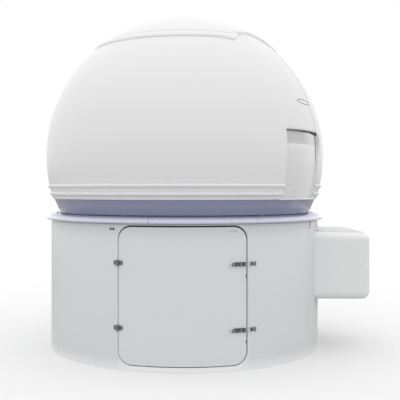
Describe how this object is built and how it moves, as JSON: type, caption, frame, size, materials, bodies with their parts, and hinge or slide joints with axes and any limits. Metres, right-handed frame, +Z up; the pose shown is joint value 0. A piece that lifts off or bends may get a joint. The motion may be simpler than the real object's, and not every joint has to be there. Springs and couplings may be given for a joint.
{
  "type": "observatory dome",
  "caption": "Small white observatory: round wall with a curved hinged door and a box bay, and a turning dome with a slot closed by a sliding shutter, a raised crown and a fixed front panel.",
  "frame": {"origin": "centre of the bounding box on the ground; the axis of the round wall and dome is at X -0.1875, Y 0", "axes": "+Z up; the door faces -Y, the bay faces +X, and the slot faces 53.5 degrees from -Y towards +X"},
  "size_m": [3.0749, 2.6998, 3.1783],
  "materials": {
    "white_gelcoat": "smooth white gelcoat over glass fibre",
    "ring_paint": "pale blue-grey gloss",
    "skirt_paint": "slate blue-grey, half gloss",
    "stainless_steel": "plain stainless steel fittings",
    "rubber": "black rubber seal"
  },
  "bodies": {
    "building": {"wall_front_left": "white_gelcoat", "wall_front_right": "white_gelcoat", "door_sill": "white_gelcoat", "door_head": "white_gelcoat", "wall_bay_front": "white_gelcoat", "wall_bay_rear": "white_gelcoat", "wall_below_bay": "white_gelcoat", "wall_above_bay": "white_gelcoat", "wall_rear_right": "white_gelcoat", "wall_left": "white_gelcoat", "accessory_bay": "white_gelcoat", "top_ring_1": "ring_paint", "top_ring_2": "ring_paint", "top_ring_3": "ring_paint", "roller_1": "stainless_steel", "roller_2": "stainless_steel", "roller_3": "stainless_steel", "roller_4": "stainless_steel", "roller_5": "stainless_steel", "roller_6": "stainless_steel", "lower_hinge_wall_leaf": "stainless_steel", "upper_hinge_wall_leaf": "stainless_steel", "lower_latch_keeper": "stainless_steel", "upper_latch_keeper": "stainless_steel"},
    "door": {"door": "white_gelcoat", "lower_hinge_door_leaf": "stainless_steel", "upper_hinge_door_leaf": "stainless_steel", "lower_latch_base": "stainless_steel", "upper_latch_base": "stainless_steel", "lower_latch_loop": "stainless_steel", "upper_latch_loop": "stainless_steel"},
    "lower_lever": {"lower_latch_lever": "stainless_steel"},
    "upper_lever": {"upper_latch_lever": "stainless_steel"},
    "dome": {"dome_front_near": "white_gelcoat", "dome_rear_near": "white_gelcoat", "dome_rear_far": "white_gelcoat", "dome_front_far": "white_gelcoat", "dome_crown": "white_gelcoat", "front_panel": "white_gelcoat", "dome_skirt": "skirt_paint", "shutter_rail_near": "stainless_steel", "shutter_rail_far": "stainless_steel"},
    "shutter": {"shutter": "white_gelcoat", "shutter_seal": "rubber"}
  },
  "joints": [
    {"name": "door_hinge", "type": "hinge", "parent": "building", "child": "door", "pos_m": [-0.72842, -1.20079, 0.622], "axis": [0, 0, -1], "range_deg": [0, 110]},
    {"name": "lower_latch", "type": "hinge", "parent": "door", "child": "lower_lever", "pos_m": [0.32923, -1.21206, 0.338], "axis": [0, 0, 1], "range_deg": [0, 75]},
    {"name": "upper_latch", "type": "hinge", "parent": "door", "child": "upper_lever", "pos_m": [0.32923, -1.21206, 0.884], "axis": [0, 0, 1], "range_deg": [0, 75]},
    {"name": "dome_rotation", "type": "hinge", "parent": "building", "child": "dome", "pos_m": [-0.1875, 0, 1.285], "axis": [0, 0, 1], "continuous": true},
    {"name": "shutter_travel", "type": "hinge", "parent": "dome", "child": "shutter", "pos_m": [-0.1875, 0, 1.823], "axis": [-0.5948, -0.8039, 0], "range_deg": [0, 47]}
  ]
}
